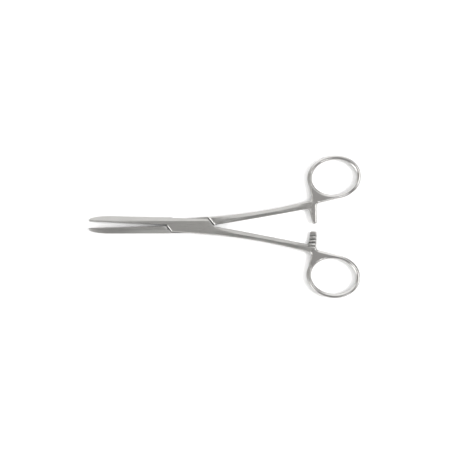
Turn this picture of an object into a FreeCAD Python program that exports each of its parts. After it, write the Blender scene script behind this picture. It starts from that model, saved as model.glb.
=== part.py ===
import FreeCAD, Part
import math
import os
import Sketcher

# Straight haemostatic forceps with a box lock, modelled with the jaws closed and then
# opened a little about the pivot. The pivot is the origin, the jaws point to -X, the
# finger rings lie at +X and the underside of the box lock is at height nought.
# Each half is one forging: jaw, lock, shank, ring and ratchet arm. In plan the two
# forgings are mirror images, so every outline is written once, with distances from
# the parting line counted towards the handle side or the jaw side of the half.

doc = FreeCAD.newDocument("hemostat_forceps")
sheet = doc.addObject("Spreadsheet::Sheet", "Sizes")

# Driving sizes in millimetres, angles in degrees, and counts
driving_sizes = [
    # box lock
    ("box_thickness", 5.0),
    ("box_width", 8.8),
    ("lock_reach", 14.0),
    ("lock_corner", 10.5),
    ("lock_relief", 0.12),
    ("cheek_bevel", 0.7),
    ("bevel_lean", 60.0),
    ("tongue_thickness", 2.1),
    ("tongue_clearance", 0.05),
    ("shoulder_gap", 0.15),
    ("shoulder_bevel", 0.8),
    ("lock_shank_taper", 0.4),
    ("lock_back_share", 0.56),
    # pivot pin
    ("pin_diameter", 2.6),
    ("pin_head_flare", 0.5),
    ("pin_head_lean", 45.0),
    ("pin_clearance", 0.03),
    # jaws
    ("jaw_reach", 59.7),
    ("jaw_root_width", 4.25),
    ("jaw_front_width", 3.6),
    ("jaw_nose_length", 15.7),
    ("jaw_tip_width", 0.7),
    ("jaw_front_thickness", 3.4),
    ("jaw_tip_thickness", 1.9),
    ("jaw_back_slope", 2.2),
    ("jaw_back_share", 0.3),
    ("jaw_edge_break", 0.25),
    ("serration_pitch", 1.25),
    ("serration_depth", 0.8),
    ("serration_play", 0.1),
    ("groove_share", 0.9),
    # shanks
    ("shank_root_width", 4.9),
    ("shank_waist_width", 3.7),
    ("shank_end_width", 4.45),
    ("shank_bow", 0.22),
    ("shank_roof", 0.6),
    ("shank_edge", 0.6),
    ("stub_length", 4.2),
    ("stub_inner_drop", 0.45),
    ("stub_outer_drop", 0.95),
    # handle plates: web, finger ring and arm
    ("handle_thickness", 3.9),
    ("ring_x", 84.85),
    ("ring_y", 26.15),
    ("ring_hole_length", 26.4),
    ("ring_hole_width", 20.4),
    ("ring_band", 2.55),
    ("ring_tilt", 5.0),
    ("plate_bevel", 0.75),
    ("web_drop", 5.15),
    ("web_foot_reach", 3.0),
    ("web_foot_bite", 0.35),
    ("web_flank_drop", 4.0),
    ("web_flank_bite", 0.85),
    ("web_shoulder_set", 0.35),
    ("web_shoulder_rise", 0.25),
    ("web_corner_radius", 2.0),
    # ratchet
    ("arm_x", 71.95),
    ("arm_root_width", 4.5),
    ("arm_root_rise", 2.75),
    ("tongue_arm_tip_width", 2.9),
    ("box_arm_tip_width", 3.9),
    ("tongue_arm_overlap", 0.85),
    ("box_arm_gap", 0.35),
    ("arm_tip_radius", 1.2),
    ("ratchet_clearance", 0.1),
    ("ratchet_ramp", 1.6),
    ("tooth_first", 2.95),
    ("tooth_pitch", 2.05),
    ("tooth_depth", 0.6),
    ("tooth_width", 0.95),
    ("tooth_lean", 0.15),
    ("tooth_count", 3),
    # pose in which the forceps lie
    ("rest_opening", 3.8),
]
for row, (alias, value) in enumerate(driving_sizes, start=1):
    sheet.set("A%d" % row, alias)
    sheet.set("B%d" % row, str(value))
    sheet.setAlias("B%d" % row, alias)
doc.recompute()

# Places that several features share, written as expressions of the driving sizes
middle = "Sizes.box_thickness / 2"
half_box = "(Sizes.box_width / 2)"
ring_reach = "(Sizes.ring_hole_length / 2 + Sizes.ring_band)"
ring_half_width = "(Sizes.ring_hole_width / 2 + Sizes.ring_band)"
arm_left = "(Sizes.arm_x - Sizes.arm_root_width / 2)"
arm_right = "(Sizes.arm_x + Sizes.arm_root_width / 2)"
shank_end_inner = "(Sizes.ring_y - %s - Sizes.web_drop)" % ring_half_width
slant = "((Sizes.lock_reach - Sizes.lock_corner) / %s)" % half_box
slant_stretch = "sqrt(1 + %s * %s)" % (slant, slant)
lock_beyond = "(Sizes.lock_reach + 2)"

# How far cutting shapes run past the metal, how far joined shapes run into each other,
# and how close a corner has to be to the place where it is looked for
past_edge = 6.0
cut_margin = 1.3
skin_margin = 0.2
joint_overlap = 0.3
parting_overlap = 0.5
closeness = 0.01

# Where along their length the shank and the nose of the jaw get a cross-section
shank_shares = (0.0, 0.25, 0.5, 0.75, 1.0)
nose_shares = (0.3, 0.5, 0.66, 0.79, 0.89, 0.96, 1.0)


def valueOf(expression):
    return float(sheet.evalExpression(expression))


def mirrored(side, expression):
    return expression if side > 0 else "-(%s)" % expression


def originFeature(body, role):
    for feature in body.Origin.OriginFeatures:
        if feature.Role == role:
            return feature
    raise ValueError("no origin feature " + role)


def openSketch(body, name, plane, offset):
    # a sketch on one of the body's own planes, moved off it by an expression
    sketch = body.newObject("Sketcher::SketchObject", name)
    sketch.AttachmentSupport = [(originFeature(body, plane), "")]
    sketch.MapMode = "FlatFace"
    sketch.setExpression("AttachmentOffset.Base.z", offset)
    return sketch


def hold(sketch, constraint, expression):
    index = sketch.addConstraint(constraint)
    sketch.setExpression("Constraints[%d]" % index, expression)


def polygonSketch(body, name, plane, offset, corners):
    # a closed outline whose corners are pairs of expressions
    sketch = openSketch(body, name, plane, offset)
    points = [FreeCAD.Vector(valueOf(a), valueOf(b), 0) for a, b in corners]
    count = len(points)
    for index in range(count):
        following = points[(index + 1) % count]
        sketch.addGeometry(Part.LineSegment(points[index], following), False)
    for index in range(count):
        sketch.addConstraint(Sketcher.Constraint("Coincident", index, 2, (index + 1) % count, 1))
    for index, (a, b) in enumerate(corners):
        point = points[index]
        hold(sketch, Sketcher.Constraint("DistanceX", -1, 1, index, 1, point.x), a)
        hold(sketch, Sketcher.Constraint("DistanceY", -1, 1, index, 1, point.y), b)
    return sketch


def circleSketch(body, name, plane, offset, diameter):
    sketch = openSketch(body, name, plane, offset)
    centre = FreeCAD.Vector(0, 0, 0)
    upward = FreeCAD.Vector(0, 0, 1)
    sketch.addGeometry(Part.Circle(centre, upward, valueOf(diameter) / 2), False)
    sketch.addConstraint(Sketcher.Constraint("Coincident", 0, 3, -1, 1))
    hold(sketch, Sketcher.Constraint("Diameter", 0, valueOf(diameter)), diameter)
    return sketch


def ellipseSketch(body, name, centre, length, width, tilt):
    # an ellipse held by its centre, both axes and the tilt of the long one
    sketch = openSketch(body, name, "XY_Plane", middle)
    origin = FreeCAD.Vector(valueOf(centre[0]), valueOf(centre[1]), 0)
    turn = FreeCAD.Rotation(FreeCAD.Vector(0, 0, 1), valueOf(tilt))
    long_end = origin + turn.multVec(FreeCAD.Vector(valueOf(length) / 2, 0, 0))
    short_end = origin + turn.multVec(FreeCAD.Vector(0, valueOf(width) / 2, 0))
    sketch.addGeometry(Part.Ellipse(long_end, short_end, origin), False)
    sketch.exposeInternalGeometry(0)
    hold(sketch, Sketcher.Constraint("DistanceX", -1, 1, 0, 3, origin.x), centre[0])
    hold(sketch, Sketcher.Constraint("DistanceY", -1, 1, 0, 3, origin.y), centre[1])
    hold(sketch, Sketcher.Constraint("Distance", 1, valueOf(length)), length)
    hold(sketch, Sketcher.Constraint("Distance", 2, valueOf(width)), width)
    axis = sketch.Geometry[1]
    runs_forward = axis.EndPoint.x > axis.StartPoint.x
    angle = tilt if runs_forward else tilt + " + 180"
    constraint = Sketcher.Constraint("Angle", 1, math.radians(valueOf(angle)))
    hold(sketch, constraint, "(%s) * 1 deg" % angle)
    return sketch


def padBothWays(body, name, sketch, length):
    pad = body.newObject("PartDesign::Pad", name)
    pad.Profile = sketch
    pad.SideType = "Symmetric"
    pad.setExpression("Length", length)
    return pad


def pocketBothWays(body, name, sketch, length):
    pocket = body.newObject("PartDesign::Pocket", name)
    pocket.Profile = sketch
    pocket.SideType = "Symmetric"
    pocket.setExpression("Length", length)
    return pocket


def pocketOneWay(body, name, sketch, length, backwards):
    pocket = body.newObject("PartDesign::Pocket", name)
    pocket.Profile = sketch
    pocket.setExpression("Length", length)
    pocket.Reversed = backwards
    return pocket


def bevelPocket(body, name, sketch, width, lean, backwards):
    # cut from a face into the solid, with walls that lean in over the given width
    depth = "%s / tan(%s * 1 deg)" % (width, lean)
    pocket = pocketOneWay(body, name, sketch, depth, backwards)
    pocket.setExpression("TaperAngle", "-%s * 1 deg" % lean)
    return pocket


def loftThrough(body, name, sections, straight):
    feature = body.newObject("PartDesign::AdditiveLoft", name)
    feature.Profile = sections[0]
    feature.Sections = sections[1:]
    feature.Ruled = straight
    return feature


def patternAlong(body, name, feature, axis, backwards, pitch, count):
    # copies of a pocket along one of the body's own axes
    pattern = body.newObject("PartDesign::LinearPattern", name)
    pattern.Originals = [feature]
    pattern.Direction = (originFeature(body, axis), [""])
    pattern.Reversed = backwards
    pattern.Mode = "Spacing"
    pattern.setExpression("Offset", pitch)
    pattern.setExpression("Occurrences", count)
    body.Tip = pattern
    return pattern


def dressEdges(body, kind, name, size, wanted):
    # a fillet or chamfer on the edges of the newest shape that pass the test
    doc.recompute()
    base = body.Tip
    names = []
    for index, edge in enumerate(base.Shape.Edges, start=1):
        if wanted(edge):
            names.append("Edge%d" % index)
    if not names:
        raise ValueError("no edge to dress for " + name)
    feature = body.newObject("PartDesign::" + kind, name)
    feature.Base = (base, names)
    feature.setExpression("Radius" if kind == "Fillet" else "Size", size)
    doc.recompute()
    return feature


def uprightAt(edge, corners):
    # true for an upright edge that stands on one of the corners
    if len(edge.Vertexes) != 2:
        return False
    first, second = [vertex.Point for vertex in edge.Vertexes]
    if math.hypot(first.x - second.x, first.y - second.y) > closeness:
        return False
    for x, y in corners:
        if math.hypot(first.x - valueOf(x), first.y - valueOf(y)) < closeness:
            return True
    return False


def onRimOfPlate(edge):
    # true for the edges of both flat sides, but not where the shank's stub ends
    box = edge.BoundBox
    off_middle = abs(box.ZMin - valueOf(middle))
    level = box.ZLength < closeness and abs(off_middle - valueOf("Sizes.handle_thickness / 2")) < closeness
    return level and box.XMax > valueOf(arm_left + " - Sizes.stub_length") + closeness


def buildHandlePlate(body, side, arm_tip_width, arm_tip):
    # finger ring, web, stub of the shank and ratchet arm, forged flat with broken edges
    centre = ("Sizes.ring_x", mirrored(side, "Sizes.ring_y"))
    tilt = mirrored(side, "Sizes.ring_tilt")
    outline = ellipseSketch(body, "ring_outline", centre,
                            "2 * " + ring_reach, "2 * " + ring_half_width, tilt)
    padBothWays(body, "ring_blank", outline, "Sizes.handle_thickness")

    stub_start = arm_left + " - Sizes.stub_length"
    corners = [
        (stub_start, shank_end_inner + " - Sizes.stub_inner_drop"),
        (arm_left, shank_end_inner),
        (arm_right + " - " + arm_tip_width, arm_tip),
        (arm_right, arm_tip),
        (arm_right, shank_end_inner + " + Sizes.arm_root_rise"),
        ("Sizes.ring_x + Sizes.web_foot_reach", "Sizes.ring_y - %s + Sizes.web_foot_bite" % ring_half_width),
        ("Sizes.ring_x - Sizes.ring_hole_length / 4", "Sizes.ring_y - Sizes.web_flank_drop / 2"),
        ("Sizes.ring_x - %s + Sizes.web_flank_bite" % ring_reach, "Sizes.ring_y - Sizes.web_flank_drop"),
        ("Sizes.arm_x - Sizes.web_shoulder_set",
         shank_end_inner + " + Sizes.shank_end_width + Sizes.web_shoulder_rise"),
        (stub_start, shank_end_inner + " + Sizes.shank_end_width - Sizes.stub_outer_drop"),
    ]
    corners = [(x, mirrored(side, y)) for x, y in corners]
    web = polygonSketch(body, "web_outline", "XY_Plane", middle, corners)
    padBothWays(body, "web", web, "Sizes.handle_thickness")

    hole = ellipseSketch(body, "finger_hole_outline", centre,
                         "Sizes.ring_hole_length", "Sizes.ring_hole_width", tilt)
    pocketBothWays(body, "finger_hole", hole, "Sizes.handle_thickness * 2")

    web_corners = [corners[1], corners[4], corners[8]]
    dressEdges(body, "Fillet", "web_corners", "Sizes.web_corner_radius",
               lambda edge: uprightAt(edge, web_corners))
    tip_corners = [corners[2], corners[3]]
    dressEdges(body, "Fillet", "arm_tip", "Sizes.arm_tip_radius",
               lambda edge: uprightAt(edge, tip_corners))
    dressEdges(body, "Chamfer", "plate_bevel", "Sizes.plate_bevel", onRimOfPlate)


def shankSection(body, name, side, x, inner, outer, half_height, roof, edge_in, edge_down):
    # ten corners: a ridge along the middle, a shoulder and a flat on each side
    ridge = "((%s + %s) / 2)" % (inner, outer)
    shoulder = "(%s - %s)" % (half_height, roof)
    flat = "(%s - %s)" % (shoulder, edge_down)
    profile = [
        (ridge, half_height),
        ("%s - %s" % (outer, edge_in), shoulder),
        (outer, flat),
        (outer, "-" + flat),
        ("%s - %s" % (outer, edge_in), "-" + shoulder),
        (ridge, "-" + half_height),
        ("%s + %s" % (inner, edge_in), "-" + shoulder),
        (inner, "-" + flat),
        (inner, flat),
        ("%s + %s" % (inner, edge_in), shoulder),
    ]
    corners = [(mirrored(side, y), "%s + (%s)" % (middle, z)) for y, z in profile]
    return polygonSketch(body, name, "YZ_Plane", x, corners)


def between(start, end, share):
    # the expression part of the way from one expression to another
    return "((%s) * %g + (%s) * %g)" % (start, 1 - share, end, share)


def buildShank(body, side):
    # lofted from the lock to the handle plate; the waist is the width half way along
    end = "(%s + %g)" % (arm_left, joint_overlap)
    edge = "Sizes.shank_edge"
    sections = []
    for index, share in enumerate(shank_shares):
        hump = 4 * share * (1 - share)
        inner = "(%s * %g - Sizes.shank_bow * %g)" % (shank_end_inner, share, hump)
        straight = between("Sizes.shank_root_width", "Sizes.shank_end_width", share)
        ends = between("Sizes.shank_root_width", "Sizes.shank_end_width", 0.5)
        width = "(%s + (Sizes.shank_waist_width - %s) * %g)" % (straight, ends, hump)
        half_height = between("Sizes.box_thickness / 2", "Sizes.handle_thickness / 2", share)
        sections.append(shankSection(body, "shank_section_%d" % index, side,
                                     between("Sizes.lock_reach", end, share), inner,
                                     "(%s + %s)" % (inner, width), half_height,
                                     "(Sizes.shank_roof * %g)" % hump, edge, edge))
    lock_inner = "-%g" % parting_overlap
    lock_start = shankSection(body, "lock_shank_section", side, "-Sizes.lock_reach", lock_inner,
                              "(%s - Sizes.lock_shank_taper)" % half_box,
                              "(Sizes.box_thickness / 2)", "0", edge, edge)
    lock_end = shankSection(body, "lock_shank_end", side, "Sizes.lock_reach", lock_inner,
                            "Sizes.shank_root_width", "(Sizes.box_thickness / 2)", "0", edge, edge)
    loftThrough(body, "shank", sections, False)
    loftThrough(body, "lock_shank_side", [lock_start, lock_end], True)


def jawSection(body, name, side, x, outer, half_height, slope, back, inner, edge):
    # eight corners: flat inner face, flat top, sloped back
    profile = [
        (inner, "-(%s - %s)" % (half_height, edge)),
        (inner, "(%s - %s)" % (half_height, edge)),
        ("%s + %s" % (inner, edge), half_height),
        ("%s - %s" % (outer, slope), half_height),
        (outer, back),
        (outer, "-" + back),
        ("%s - %s" % (outer, slope), "-" + half_height),
        ("%s + %s" % (inner, edge), "-" + half_height),
    ]
    corners = [(mirrored(-side, y), "%s + (%s)" % (middle, z)) for y, z in profile]
    return polygonSketch(body, name, "YZ_Plane", x, corners)


def buildJaw(body, side):
    # lofted from the lock to the blunt tip; the back of the nose is a quarter ellipse
    face = "-(Sizes.serration_depth / 2 - Sizes.serration_play)"
    lock_inner = "-%g" % parting_overlap
    front = "(Sizes.jaw_reach - Sizes.jaw_nose_length)"
    edge = "Sizes.jaw_edge_break"
    full_height = "(Sizes.box_thickness / 2)"
    full_back = "(Sizes.jaw_back_share * %s)" % full_height
    front_height = "(Sizes.jaw_front_thickness / 2)"
    root = jawSection(body, "jaw_root_section", side, "-Sizes.lock_reach", "Sizes.jaw_root_width",
                      full_height, "Sizes.jaw_back_slope", full_back, face, edge)
    sections = [jawSection(body, "jaw_front_section", side, "-" + front, "Sizes.jaw_front_width",
                           front_height, "Sizes.jaw_back_slope",
                           "(Sizes.jaw_back_share * %s)" % front_height, face, edge)]
    for index, share in enumerate(nose_shares):
        x = "-(%s + Sizes.jaw_nose_length * %g)" % (front, share)
        fall = 1 - math.sqrt(1 - share * share)
        outer = between("Sizes.jaw_front_width", "Sizes.jaw_tip_width", fall)
        half_height = between("Sizes.jaw_front_thickness / 2", "Sizes.jaw_tip_thickness / 2", fall)
        slope = "(Sizes.jaw_back_slope * %s / Sizes.jaw_front_width)" % outer
        sections.append(jawSection(body, "nose_section_%d" % index, side, x, outer, half_height, slope,
                                   "(Sizes.jaw_back_share * %s)" % half_height, face, edge))
    lock_start = jawSection(body, "lock_jaw_section", side, "-Sizes.lock_reach",
                            "Sizes.jaw_root_width", full_height, "Sizes.jaw_back_slope", full_back,
                            lock_inner, edge)
    lock_end = jawSection(body, "lock_jaw_end", side, "Sizes.lock_reach", half_box, full_height,
                          "Sizes.jaw_back_slope / 2",
                          "(Sizes.lock_back_share * %s)" % full_height, lock_inner, edge)
    loftThrough(body, "jaw", [root, sections[0]], True)
    loftThrough(body, "nose", sections, True)
    loftThrough(body, "lock_jaw_side", [lock_start, lock_end], True)


def alongLock(distance, gap):
    # how far from the pivot the lock's slanted end is, at this distance off the parting line
    return "(Sizes.lock_reach + %s - %s * %s)" % (gap, distance, slant)


def lockEndOutlines(body, name, side, offset, inset):
    # what lies beyond each slanted end of the lock: the front one is on the handle's side
    # of the parting line and the rear one on the jaw's side
    far = str(past_edge)
    back = "(-%s)" % inset
    front = [
        ("-" + alongLock("(-Sizes.lock_relief)", back), "Sizes.lock_relief"),
        ("-" + alongLock(far, back), "-" + far),
        ("-" + lock_beyond, "-" + far),
        ("-" + lock_beyond, "Sizes.lock_relief"),
    ]
    rear = [
        (alongLock("0", back), "0"),
        (alongLock(far, back), far),
        (lock_beyond, far),
        (lock_beyond, "0"),
    ]
    sketches = []
    for end, corners in (("front", front), ("rear", rear)):
        corners = [(x, mirrored(-side, y)) for x, y in corners]
        sketches.append(polygonSketch(body, "%s_%s_outline" % (end, name), "XY_Plane", offset, corners))
    return sketches


def trimLockEnds(body, side):
    front, rear = lockEndOutlines(body, "slant", side, middle, "0")
    pocketBothWays(body, "front_slant", front, "Sizes.box_thickness * 2")
    pocketBothWays(body, "rear_slant", rear, "Sizes.box_thickness * 2")


def bevelCheeks(body, side):
    inset = "(Sizes.cheek_bevel * %s)" % slant_stretch
    for face, height, backwards in (("top", "Sizes.box_thickness", False), ("bottom", "0", True)):
        outlines = lockEndOutlines(body, face + "_bevel", side, height, inset)
        for end, outline in zip(("front", "rear"), outlines):
            bevelPocket(body, "%s_%s_bevel" % (end, face), outline,
                        "Sizes.cheek_bevel", "Sizes.bevel_lean", backwards)


def lockOutline(body, name, side, offset, gap):
    # the room that one half leaves for the other inside the lock, slanted at both ends
    far = str(past_edge)
    corners = [
        ("-" + alongLock("0", gap), "0"),
        ("-" + alongLock(far, gap), far),
        (lock_beyond, far),
        (lock_beyond, "0"),
        (alongLock("0", gap), "0"),
        (alongLock(far, gap), "-" + far),
        ("-" + lock_beyond, "-" + far),
        ("-" + lock_beyond, "0"),
    ]
    corners = [(x, mirrored(-side, y)) for x, y in corners]
    return polygonSketch(body, name, "XY_Plane", offset, corners)


def cutRatchet(body, side, tip, lower_half):
    # half of the arm's height is cut away up to a ramp, then the teeth are cut across it
    sense = 1 if lower_half else -1
    surface = "(%s - (%d) * Sizes.ratchet_clearance / 2)" % (middle, sense)
    outside = "(%s + (%d) * (Sizes.handle_thickness / 2 + %g))" % (middle, sense, skin_margin)
    width = "Sizes.arm_root_width + %g" % cut_margin
    before_tip = "%s - %g" % (tip, cut_margin)
    corners = [
        (before_tip, surface),
        (shank_end_inner, surface),
        (shank_end_inner + " + Sizes.ratchet_ramp", outside),
        (before_tip, outside),
    ]
    corners = [(mirrored(side, y), z) for y, z in corners]
    sketch = polygonSketch(body, "arm_cut_outline", "YZ_Plane", "Sizes.arm_x", corners)
    pocketBothWays(body, "arm_cut", sketch, width)

    groove = "(%s + Sizes.tooth_first)" % tip
    mouth = "%s + (%d) * %g" % (surface, sense, skin_margin)
    corners = [
        (groove + " - Sizes.tooth_width / 2", mouth),
        (groove + " - Sizes.tooth_width / 2 + Sizes.tooth_lean",
         "%s - (%d) * Sizes.tooth_depth" % (surface, sense)),
        (groove + " + Sizes.tooth_width / 2", mouth),
    ]
    corners = [(mirrored(side, y), z) for y, z in corners]
    sketch = polygonSketch(body, "tooth_outline", "YZ_Plane", "Sizes.arm_x", corners)
    tooth = pocketBothWays(body, "tooth", sketch, width)
    patternAlong(body, "ratchet_teeth", tooth, "Y_Axis", side < 0,
                 "Sizes.tooth_pitch", "Sizes.tooth_count")


def cutSerrations(body, side, shift):
    # V grooves across the jaw face from the tip to the lock; the halves' grooves are
    # half a pitch apart, so that they mesh
    face = "(-(Sizes.serration_depth / 2 - Sizes.serration_play))"
    first = "(-Sizes.jaw_reach + Sizes.serration_pitch * %g)" % shift
    widening = "(1 + %g / Sizes.serration_depth)" % skin_margin
    half = "(Sizes.serration_pitch * Sizes.groove_share / 2 * %s)" % widening
    corners = [
        ("%s - %s" % (first, half), "%s - %g" % (face, skin_margin)),
        ("%s + %s" % (first, half), "%s - %g" % (face, skin_margin)),
        (first, face + " + Sizes.serration_depth"),
    ]
    corners = [(x, mirrored(-side, y)) for x, y in corners]
    sketch = polygonSketch(body, "serration_outline", "XY_Plane", middle, corners)
    groove = pocketBothWays(body, "serration", sketch, "Sizes.box_thickness * 2")
    patternAlong(body, "serrations", groove, "X_Axis", False, "Sizes.serration_pitch",
                 "floor((Sizes.jaw_reach - Sizes.lock_reach) / Sizes.serration_pitch)")


def buildForging(name, side, arm_tip_width, arm_tip, lower_half, shift):
    body = doc.addObject("PartDesign::Body", name)
    body.Label = name
    buildHandlePlate(body, side, arm_tip_width, arm_tip)
    buildShank(body, side)
    buildJaw(body, side)
    trimLockEnds(body, side)
    cutRatchet(body, side, arm_tip, lower_half)
    cutSerrations(body, side, shift)
    return body


def finishBoxHalf(body, side):
    # a slot right through between two cheeks, bevelled ends, and the riveted pin's hole
    bevelCheeks(body, side)
    outline = lockOutline(body, "slot_outline", side, middle, "Sizes.shoulder_gap")
    pocketBothWays(body, "slot", outline, "Sizes.tongue_thickness + 2 * Sizes.tongue_clearance")
    hole = circleSketch(body, "pin_hole_outline", "XY_Plane", middle, "Sizes.pin_diameter")
    pocketBothWays(body, "pin_hole", hole, "Sizes.box_thickness * 2")
    for face, height, backwards in (("top", "Sizes.box_thickness", False), ("bottom", "0", True)):
        rim = circleSketch(body, face + "_countersink_outline", "XY_Plane", height,
                           "Sizes.pin_diameter + 2 * Sizes.pin_head_flare")
        bevelPocket(body, face + "_countersink", rim,
                    "Sizes.pin_head_flare", "Sizes.pin_head_lean", backwards)


def finishTongueHalf(body, side):
    # recessed above and below to a thin tongue, with bevelled shoulders
    widened = "(Sizes.shoulder_gap + Sizes.shoulder_bevel * %s)" % slant_stretch
    for face, sign, height, backwards in (("top", "+", "Sizes.box_thickness", False),
                                          ("bottom", "-", "0", True)):
        floor = "%s %s Sizes.tongue_thickness / 2" % (middle, sign)
        outline = lockOutline(body, face + "_recess_outline", side, floor, "Sizes.shoulder_gap")
        pocketOneWay(body, face + "_recess", outline, "Sizes.box_thickness / 2", not backwards)
        outline = lockOutline(body, face + "_bevel_outline", side, height, widened)
        bevelPocket(body, face + "_bevel", outline,
                    "Sizes.shoulder_bevel", "Sizes.bevel_lean", backwards)
    hole = circleSketch(body, "pin_hole_outline", "XY_Plane", middle,
                        "Sizes.pin_diameter + 2 * Sizes.pin_clearance")
    pocketBothWays(body, "pin_hole", hole, "Sizes.box_thickness * 2")


def buildPin(name):
    # a plain pin whose two ends are peened out into the cheeks' countersinks
    body = doc.addObject("PartDesign::Body", name)
    body.Label = name
    radius = "Sizes.pin_diameter / 2"
    flared = radius + " + Sizes.pin_head_flare"
    flare_depth = "Sizes.pin_head_flare / tan(Sizes.pin_head_lean * 1 deg)"
    corners = [
        ("0", "0"),
        (flared, "0"),
        (radius, flare_depth),
        (radius, "Sizes.box_thickness - " + flare_depth),
        (flared, "Sizes.box_thickness"),
        ("0", "Sizes.box_thickness"),
    ]
    sketch = polygonSketch(body, "pin_profile", "XZ_Plane", "0", corners)
    turned = body.newObject("PartDesign::Revolution", "pin_turned")
    turned.Profile = sketch
    turned.ReferenceAxis = (originFeature(body, "Z_Axis"), [""])
    turned.Angle = 360
    return body


def openAbout(body, turn):
    # the body swings about the pivot by half of the rest opening
    body.Placement = FreeCAD.Placement(FreeCAD.Vector(0, 0, 0), FreeCAD.Vector(0, 0, turn),
                                       valueOf("Sizes.rest_opening / 2"))
    body.setExpression("Placement.Rotation.Angle", "Sizes.rest_opening / 2 * 1 deg")


box_half = buildForging("box_half", -1, "Sizes.box_arm_tip_width", "Sizes.box_arm_gap", True, 0.25)
finishBoxHalf(box_half, -1)
tongue_half = buildForging("tongue_half", 1, "Sizes.tongue_arm_tip_width",
                           "-Sizes.tongue_arm_overlap", False, -0.25)
finishTongueHalf(tongue_half, 1)
pivot_pin = buildPin("pivot_pin")
openAbout(box_half, -1)
openAbout(tongue_half, 1)
doc.recompute()

bodies = [box_half, tongue_half, pivot_pin]
for item in doc.Objects:
    if "Invalid" in item.State or "Error" in item.State:
        raise RuntimeError("failed feature " + item.Name)
for body in bodies:
    if body.Shape.isNull() or not body.Shape.isValid():
        raise RuntimeError("bad shape " + body.Label)
    if len(body.Shape.Solids) != 1:
        raise RuntimeError("not one solid " + body.Label)

os.makedirs("parts", exist_ok=True)
for body in bodies:
    body.Shape.exportStep("parts/%s.step" % body.Label)
    print(body.Label, round(body.Shape.Volume, 1), "cubic millimetres,", len(body.Shape.Faces), "faces")
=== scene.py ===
import math
import bmesh
import bpy
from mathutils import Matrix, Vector


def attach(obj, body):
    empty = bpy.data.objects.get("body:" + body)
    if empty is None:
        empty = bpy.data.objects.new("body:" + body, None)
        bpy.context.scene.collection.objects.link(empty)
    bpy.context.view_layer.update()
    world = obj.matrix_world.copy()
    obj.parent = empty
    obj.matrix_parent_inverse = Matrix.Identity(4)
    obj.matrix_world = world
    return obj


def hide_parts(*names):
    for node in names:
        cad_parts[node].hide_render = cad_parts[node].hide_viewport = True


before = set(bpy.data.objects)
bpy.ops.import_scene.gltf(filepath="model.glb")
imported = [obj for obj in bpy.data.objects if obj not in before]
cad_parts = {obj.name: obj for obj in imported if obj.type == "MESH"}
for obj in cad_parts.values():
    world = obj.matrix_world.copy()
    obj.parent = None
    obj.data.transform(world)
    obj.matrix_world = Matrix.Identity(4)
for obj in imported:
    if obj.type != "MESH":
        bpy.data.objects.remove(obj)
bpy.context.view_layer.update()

# Straight haemostatic forceps lying a little open on a white table, seen from straight above.
# Everything is in metres in the CAD frame: pivot at the origin, jaws towards -X, rings towards +X.

mm = 0.001


def hexColour(code):
    # sRGB hex to linear, with full alpha
    parts = [int(code[i:i + 2], 16) / 255 for i in (1, 3, 5)]
    linear = [c / 12.92 if c <= 0.04045 else ((c + 0.055) / 1.055) ** 2.4 for c in parts]
    return (*linear, 1.0)


def addNode(tree, kind, values=None, links=None, stops=None, **settings):
    # one node: its properties, the values of its sockets, what is linked into them, a ramp's colours
    node = tree.nodes.new(kind)
    for name, value in settings.items():
        setattr(node, name, value)
    for socket, value in (values or {}).items():
        node.inputs[socket].default_value = value
    for socket, source in (links or {}).items():
        tree.links.new(source, node.inputs[socket])
    if stops:
        elements = node.color_ramp.elements
        elements.remove(elements[1])
        elements[0].position = stops[0][0]
        elements[0].color = hexColour(stops[0][1])
        for place, code in stops[1:]:
            elements.new(place).color = hexColour(code)
    return node


# satin stainless steel of the two forgings and the pin
steel = {
    "colour": "#B8B7B5",
    "colourDull": "#A9A8A5",
    # lighter on worn edges: partly real polish from handling, partly a painted highlight
    "colourWornAndHighlit": "#D0CFCD",
    "colourBuffed": "#CBCAC8",
    # painted shade, the colour laid into grooves, gaps and recesses where little light reaches
    "colourPaintedShade": "#2C2A28",
    "edgeTint": "#D6D6D6",  # what it mirrors at a slant, a little darker
    "roughness": (0.27, 0.37),  # on the brush lines, and between them
    "ringRoughness": 0.13,
    "edgeRoughness": 0.2,
    "patchSize": 6 * mm,  # duller and brighter places, a little wider than a jaw
    "patchDetail": 3.0,
    "brushLength": 9 * mm,  # one stroke of the brushing wheel
    "brushSpacing": 0.16 * mm,  # its real lines are about 0.03 mm apart, drawn coarser so that they show
    "brushDetail": 2.0,
    "brushNoise": (0.3, 0.7),  # what counts as a line, and as between the lines
    "brushHeight": 0.004 * mm,
    "grainSize": 0.09 * mm,  # blasting pits of about 0.04 mm, drawn coarser for the same reason
    "grainDetail": 1.0,
    "grainHeight": 0.5,  # as a share of the lines' height
    "bumpStrength": 0.5,
    "edgeRadius": 0.16 * mm,  # how far tumbling has rounded the corners
    "ringRadius": 1.4 * mm,  # and the buffing wheel those of the rings
    "edgeSamples": 12,
    "edgeTurn": (0.995, 0.85),  # cosine of a corner's turn where its wear and painted highlight start, and are full
    # how far the worn edges take that lighter colour, a painted highlight in part
    "edgeWearAndHighlight": 0.8,
    "ringsFrom": (68 * mm, 76 * mm),
    "pinReach": (1.9 * mm, 2.4 * mm),  # no worn edge nearer to the pivot: the pin is ground flush
    # painted shade: darker where the open sky is cut off, in grooves, gaps and recesses
    "grooveReach": 1.1 * mm,
    "grooveSamples": 8,
    "grooveOpenness": (0.8, 0.35),  # share of open sky where the painted shade starts, and is darkest
    "groovePaintedShade": 0.95,
}


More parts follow.
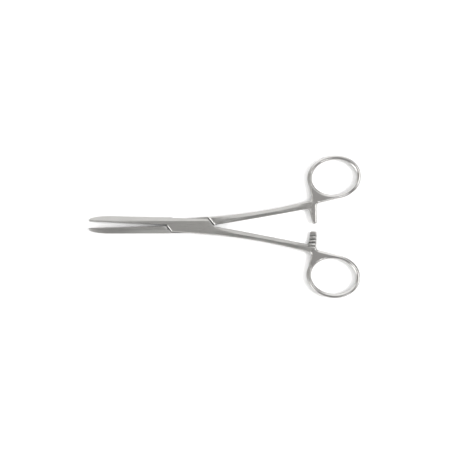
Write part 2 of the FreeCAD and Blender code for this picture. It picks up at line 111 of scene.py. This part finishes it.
def satinStainlessSteel():
    # forged martensitic stainless steel, blasted and then brushed along its length: a soft
    # grey sheen without sharp reflections, edges that handling has polished brighter with a painted
    # highlight added on them, finger rings buffed smoother than the rest, and painted shade darkening the grooves
    material = bpy.data.materials.new("satin_stainless_steel")
    material.use_nodes = True
    tree = material.node_tree
    tree.nodes.clear()
    place = addNode(tree, "ShaderNodeTexCoord").outputs["Object"]
    patches = addNode(tree, "ShaderNodeTexNoise", {"Scale": 1 / steel["patchSize"], "Detail": steel["patchDetail"]},
                      {"Vector": place})
    linesPerMetre = 1 / steel["brushSpacing"]
    stretched = addNode(tree, "ShaderNodeMapping", {"Scale": (1 / steel["brushLength"], linesPerMetre, linesPerMetre)},
                        {"Vector": place})
    brush = addNode(tree, "ShaderNodeTexNoise", {"Scale": 1.0, "Detail": steel["brushDetail"]},
                    {"Vector": stretched.outputs[0]})
    grain = addNode(tree, "ShaderNodeTexNoise", {"Scale": 1 / steel["grainSize"], "Detail": steel["grainDetail"]},
                    {"Vector": place})

    # where the rings are, and how round the corners are: buffed there, and left alone on the pin's ends
    axes = addNode(tree, "ShaderNodeSeparateXYZ", links={0: place})
    ringStart, ringFull = steel["ringsFrom"]
    ring = addNode(tree, "ShaderNodeMapRange", {"From Min": ringStart, "From Max": ringFull},
                   {"Value": axes.outputs["X"]}, interpolation_type="SMOOTHSTEP")
    onPlan = addNode(tree, "ShaderNodeCombineXYZ", links={0: axes.outputs["X"], 1: axes.outputs["Y"]})
    fromPivot = addNode(tree, "ShaderNodeVectorMath", links={0: onPlan.outputs[0]}, operation="LENGTH")
    pinEdge, pinPast = steel["pinReach"]
    corners = addNode(tree, "ShaderNodeMapRange",
                      {"From Min": pinEdge, "From Max": pinPast, "To Max": steel["edgeRadius"]},
                      {"Value": fromPivot.outputs["Value"]})
    radius = addNode(tree, "ShaderNodeMix", {"B": steel["ringRadius"]},
                     {"Factor": ring.outputs[0], "A": corners.outputs[0]}, data_type="FLOAT")

    # worn corners, where the rounded face turns away from the real one: lighter there, partly real polish and partly a
    # painted highlight along the edges
    rounded = addNode(tree, "ShaderNodeBevel", links={"Radius": radius.outputs[0]}, samples=steel["edgeSamples"])
    surface = addNode(tree, "ShaderNodeNewGeometry")
    likeness = addNode(tree, "ShaderNodeVectorMath", links={0: rounded.outputs[0], 1: surface.outputs["Normal"]},
                       operation="DOT_PRODUCT")
    wearStart, wearFull = steel["edgeTurn"]
    edge = addNode(tree, "ShaderNodeMapRange",
                   {"From Min": wearStart, "From Max": wearFull, "To Max": steel["edgeWearAndHighlight"]},
                   {"Value": likeness.outputs["Value"]})

    # painted shade: a darker colour where little of the sky reaches, in grooves, gaps and recesses
    openness = addNode(tree, "ShaderNodeAmbientOcclusion", {"Distance": steel["grooveReach"]},
                       samples=steel["grooveSamples"])
    paintedShadeStart, paintedShadeFull = steel["grooveOpenness"]
    paintedShade = addNode(tree, "ShaderNodeMapRange",
                   {"From Min": paintedShadeStart, "From Max": paintedShadeFull, "To Max": steel["groovePaintedShade"]},
                   {"Value": openness.outputs["AO"]})

    # colour: patches, then buffed rings, worn edges with their painted highlight, and painted shade in the grooves
    # over them
    # (the sockets of a colour Mix are 0 for the factor, 6 and 7 for the colours, and 2 for the result)
    colour = addNode(tree, "ShaderNodeMix", {6: hexColour(steel["colourDull"]), 7: hexColour(steel["colour"])},
                     {0: patches.outputs["Fac"]}, data_type="RGBA")
    for mask, layer in ((ring, "colourBuffed"), (edge, "colourWornAndHighlit"), (paintedShade, "colourPaintedShade")):
        colour = addNode(tree, "ShaderNodeMix", {7: hexColour(steel[layer])},
                         {0: mask.outputs[0], 6: colour.outputs[2]}, data_type="RGBA")

    # roughness: brush lines, smoother on the rings and on worn edges
    lineNoise, betweenNoise = steel["brushNoise"]
    lineRoughness, betweenRoughness = steel["roughness"]
    rough = addNode(tree, "ShaderNodeMapRange", {"From Min": lineNoise, "From Max": betweenNoise,
                    "To Min": lineRoughness, "To Max": betweenRoughness}, {"Value": brush.outputs["Fac"]})
    for mask, layer in ((ring, "ringRoughness"), (edge, "edgeRoughness")):
        rough = addNode(tree, "ShaderNodeMix", {"B": steel[layer]},
                        {"Factor": mask.outputs[0], "A": rough.outputs[0]}, data_type="FLOAT")

    # relief: pits on lines, on top of the rounded corners
    relief = addNode(tree, "ShaderNodeMath", {1: steel["grainHeight"]},
                     {0: grain.outputs["Fac"], 2: brush.outputs["Fac"]}, operation="MULTIPLY_ADD")
    bump = addNode(tree, "ShaderNodeBump", {"Strength": steel["bumpStrength"], "Distance": steel["brushHeight"]},
                   {"Height": relief.outputs[0], "Normal": rounded.outputs[0]})
    shader = addNode(tree, "ShaderNodeBsdfPrincipled",
                     {"Metallic": 1.0, "Specular Tint": hexColour(steel["edgeTint"])},
                     {"Base Color": colour.outputs[2], "Roughness": rough.outputs[0], "Normal": bump.outputs[0]})
    addNode(tree, "ShaderNodeOutputMaterial", links={"Surface": shader.outputs[0]})
    return material


finish = satinStainlessSteel()
print("steel: blasted, brushed, and buffed on the rings")

# the two forgings, with the rims of ring, web and arm ground round
forging = {
    "bodies": {"box_half": "box_body", "tongue_half": "tongue_body"},
    "mergeWithin": 0.001 * mm,
    "rimHeights": (0.55 * mm, 1.3 * mm, 3.7 * mm, 4.45 * mm),  # both corners of the lower and the upper bevel
    "levelWithin": 0.005 * mm,
    "rimFrom": 70.6 * mm,  # nearer to the lock the rims run into the shank
    "rimAngle": 20.0,  # in degrees, and flatter edges lie inside a face
    "rimRadius": 0.4 * mm,
    "rimSteps": 4,
    "rimProfile": 0.5,  # a round one
    "creaseAngle": 32.0,  # in degrees, and sharper edges stay sharp
}


def isRim(edge):
    # one of the two corners of a bevelled rim, on the ring, the web or the arm
    ends = [corner.co for corner in edge.verts]
    level = any(all(abs(end.z - height) < forging["levelWithin"] for end in ends) for height in forging["rimHeights"])
    if not level or min(end.x for end in ends) <= forging["rimFrom"] or len(edge.link_faces) != 2:
        return False
    return edge.calc_face_angle() > math.radians(forging["rimAngle"])


def groundForging(nodeName):
    # a merged copy of the node with its rims ground round, and its flat faces kept flat to the eye
    shape = bmesh.new()
    shape.from_mesh(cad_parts[nodeName].data)
    bmesh.ops.remove_doubles(shape, verts=shape.verts, dist=forging["mergeWithin"])
    rims = [edge for edge in shape.edges if isRim(edge)]
    bmesh.ops.bevel(shape, geom=rims, offset=forging["rimRadius"], offset_type="OFFSET", segments=forging["rimSteps"],
                    profile=forging["rimProfile"], affect="EDGES", clamp_overlap=False, loop_slide=False)
    for face in shape.faces:
        face.smooth = True
    for edge in shape.edges:
        edge.smooth = len(edge.link_faces) == 2 and edge.calc_face_angle() < math.radians(forging["creaseAngle"])
    mesh = bpy.data.meshes.new(nodeName + "_ground")
    shape.to_mesh(mesh)
    shape.free()
    piece = bpy.data.objects.new(nodeName + "_ground", mesh)
    bpy.context.scene.collection.objects.link(piece)
    flatter = piece.modifiers.new("flat faces stay flat", "WEIGHTED_NORMAL")
    flatter.keep_sharp = True
    finished = bpy.data.meshes.new_from_object(piece.evaluated_get(bpy.context.evaluated_depsgraph_get()))
    piece.modifiers.clear()
    piece.data = finished
    finished.materials.append(finish)
    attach(piece, forging["bodies"][nodeName])
    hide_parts(nodeName)
    print("forging:", nodeName, "with", len(rims), "rim edges ground,", len(finished.polygons), "faces")


for nodeName in forging["bodies"]:
    groundForging(nodeName)
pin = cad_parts["pivot_pin"]
pin.data.materials.clear()
pin.data.materials.append(finish)
print("pin: same steel, ground flush")

# table top of matt white laminate
table = {
    "size": 6.0,
    "colour": "#FFFFFF",
    "glow": 0.06,  # lifts what the camera and the steel see of it, and lights nothing else
}


def whiteTable():
    # a large square at the height on which the forceps lie
    half = table["size"] / 2
    mesh = bpy.data.meshes.new("table_top")
    mesh.from_pydata([(-half, -half, 0), (half, -half, 0), (half, half, 0), (-half, half, 0)], [], [(0, 1, 2, 3)])
    top = bpy.data.objects.new("table_top", mesh)
    bpy.context.scene.collection.objects.link(top)
    material = bpy.data.materials.new("matt_white_laminate")  # no gloss, so it shows a soft shadow and nothing else
    material.use_nodes = True
    tree = material.node_tree
    tree.nodes.clear()
    path = addNode(tree, "ShaderNodeLightPath")
    seen = addNode(tree, "ShaderNodeMath", links={0: path.outputs["Is Camera Ray"], 1: path.outputs["Is Glossy Ray"]},
                   operation="MAXIMUM")
    strength = addNode(tree, "ShaderNodeMath", {1: table["glow"]}, {0: seen.outputs[0]}, operation="MULTIPLY")
    white = hexColour(table["colour"])
    shade = addNode(tree, "ShaderNodeBsdfDiffuse", {"Color": white})
    glow = addNode(tree, "ShaderNodeEmission", {"Color": white}, {"Strength": strength.outputs[0]})
    both = addNode(tree, "ShaderNodeAddShader", links={0: shade.outputs[0], 1: glow.outputs[0]})
    addNode(tree, "ShaderNodeOutputMaterial", links={"Surface": both.outputs[0]})
    mesh.materials.append(material)


whiteTable()
print("table: white, at the height of the box lock's underside")

# studio around it: a grey room, coloured by the sine of the height, and panels that hide it where
# they stand, given by azimuth and height, inner and outer reach in degrees, and brightness
studio = {
    "room": [(0.0, "#B4B3B2"), (0.25, "#A8A7A6"), (0.55, "#8C8A89"), (0.8, "#878584"),
             (0.96, "#929190"), (1.0, "#979695")],
    "strength": 1.5,
    "panels": {
        "wide north wall": {"toward": (100, 33), "reach": (34, 56), "brightness": 0.92},
        "north-east curtain": {"toward": (34, 24), "reach": (16, 34), "brightness": 0.16},
        "west strip": {"toward": (217, 30), "reach": (9, 24), "brightness": 2.6},
        "low south wall": {"toward": (270, 8), "reach": (16, 34), "brightness": 0.55},
        "dark south curtain": {"toward": (282, 48), "reach": (12, 34), "brightness": 0.2},
        "east panel": {"toward": (354, 48), "reach": (7, 20), "brightness": 2.1},
        "south-east panel": {"toward": (300, 52), "reach": (4, 9), "brightness": 2.6},
        "skylight": {"toward": (25, 64), "reach": (3, 7), "brightness": 4.2},
    },
}


def studioWorld():
    # the room, then each panel over what is behind it
    world = bpy.data.worlds.new("studio")
    bpy.context.scene.world = world
    world.use_nodes = True
    tree = world.node_tree
    tree.nodes.clear()
    direction = addNode(tree, "ShaderNodeTexCoord").outputs["Generated"]
    axes = addNode(tree, "ShaderNodeSeparateXYZ", links={0: direction})
    light = addNode(tree, "ShaderNodeValToRGB", links={0: axes.outputs["Z"]}, stops=studio["room"]).outputs[0]
    for panel in studio["panels"].values():
        azimuth, height = [math.radians(angle) for angle in panel["toward"]]
        toward = (math.cos(azimuth) * math.cos(height), math.sin(azimuth) * math.cos(height), math.sin(height))
        inner, outer = [math.cos(math.radians(angle)) for angle in panel["reach"]]
        nearness = addNode(tree, "ShaderNodeVectorMath", {1: toward}, {0: direction}, operation="DOT_PRODUCT")
        cover = addNode(tree, "ShaderNodeMapRange", {"From Min": outer, "From Max": inner},
                        {"Value": nearness.outputs["Value"]}, interpolation_type="SMOOTHSTEP")
        light = addNode(tree, "ShaderNodeMix", {7: (*[panel["brightness"]] * 3, 1.0)},
                        {0: cover.outputs[0], 6: light}, data_type="RGBA").outputs[2]
    background = addNode(tree, "ShaderNodeBackground", {"Strength": studio["strength"]}, {"Color": light})
    addNode(tree, "ShaderNodeOutputWorld", links={"Surface": background.outputs[0]})


studioWorld()

# softbox beyond the rings, so that it shines along the gap between the jaws
softbox = {
    "place": (0.72, 0.01, 0.74),
    "size": 0.5,
    "power": 6.4,
}


def addSoftbox():
    light = bpy.data.lights.new("right_softbox", "AREA")
    light.shape = "DISK"
    light.size = softbox["size"]
    light.energy = softbox["power"]
    lamp = bpy.data.objects.new("right_softbox", light)
    lamp.location = softbox["place"]
    lamp.rotation_euler = Vector(softbox["place"]).to_track_quat("Z", "Y").to_euler()
    lamp.visible_glossy = False  # the steel mirrors the east panel in its place
    bpy.context.scene.collection.objects.link(lamp)


addSoftbox()
print("light: studio room with", len(studio["panels"]), "panels, and a softbox")

# camera straight above, far enough away that the rings hardly lean
camera = {
    "aim": (20.2 * mm, 0.47 * mm, 2.5 * mm),
    "distance": 700 * mm,
    "viewWidth": 263.7 * mm,  # what the picture's width takes in, at the aim
    "sensor": 36.0,  # in millimetres, as Blender counts it
    "roll": 0.48,  # in degrees
    "clipEnd": 10,  # past the table's far side from any view
}
lens = bpy.data.cameras.new("above")
lens.sensor_width = camera["sensor"]
lens.lens = camera["sensor"] * camera["distance"] / camera["viewWidth"]
lens.clip_end = camera["clipEnd"]
eye = bpy.data.objects.new("above", lens)
eye.location = Vector(camera["aim"]) + Vector((0, 0, camera["distance"]))
eye.rotation_euler = (0, 0, math.radians(camera["roll"]))
bpy.context.scene.collection.objects.link(eye)
bpy.context.scene.camera = eye
bpy.context.scene.view_settings.view_transform = "Standard"
print("camera: above the middle of the photograph")
